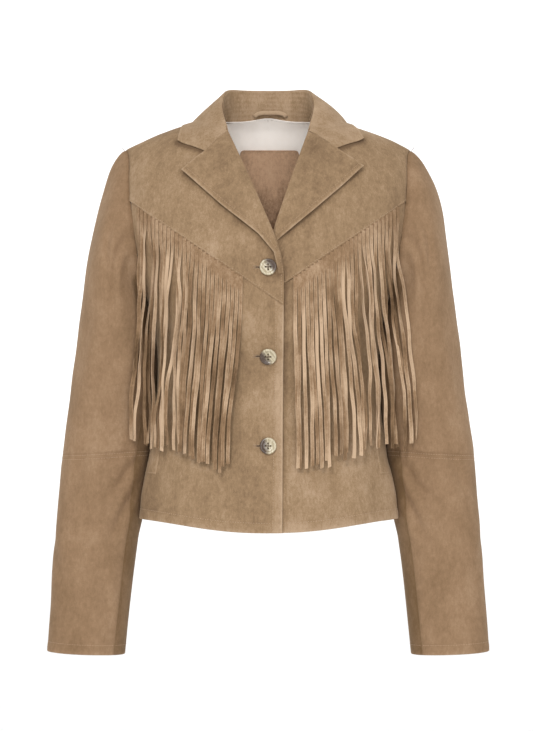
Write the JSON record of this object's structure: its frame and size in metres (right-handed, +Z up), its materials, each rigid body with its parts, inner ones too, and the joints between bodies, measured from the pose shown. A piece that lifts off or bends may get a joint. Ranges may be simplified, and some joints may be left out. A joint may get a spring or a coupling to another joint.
{
  "type": "fringed blazer",
  "caption": "Cropped suede blazer with a notched collar, a pointed front yoke hung with long fringe, seamed sleeves and a buttoned front, filled out as if worn.",
  "frame": {"origin": "middle of the neck at the height of the side neck points, where the wearer's neck and shoulders carry the blazer", "axes": "+Z up, -Y to the front, -X to the wearer's right"},
  "size_m": [0.5704, 0.2465, 0.7351],
  "materials": {
    "suede": "napped goat suede, tan",
    "fringe_suede": "napped suede cut into strands, tan",
    "lining": "plain woven lining, cream",
    "horn": "polished horn-effect button, pale with a dark marbled side"
  },
  "bodies": {
    "root": {"front_right": "suede", "front_yoke_right": "suede", "sleeve_upper_top_right": "suede", "sleeve_upper_under_right": "suede", "sleeve_fore_top_right": "suede", "sleeve_fore_under_right": "suede", "lapel_right": "suede", "pocket_welt_right": "suede", "back_right": "suede", "front_left": "suede", "front_yoke_left": "suede", "sleeve_upper_top_left": "suede", "sleeve_upper_under_left": "suede", "sleeve_fore_top_left": "suede", "sleeve_fore_under_left": "suede", "lapel_left": "suede", "pocket_welt_left": "suede", "back_left": "suede", "collar": "suede", "collar_stand": "suede", "inner_patch": "suede", "hanger_loop": "suede", "back_lining": "lining", "fringe_right": "fringe_suede", "fringe_left": "fringe_suede", "button_top": "horn", "button_middle": "horn", "button_bottom": "horn"}
  },
  "joints": []
}
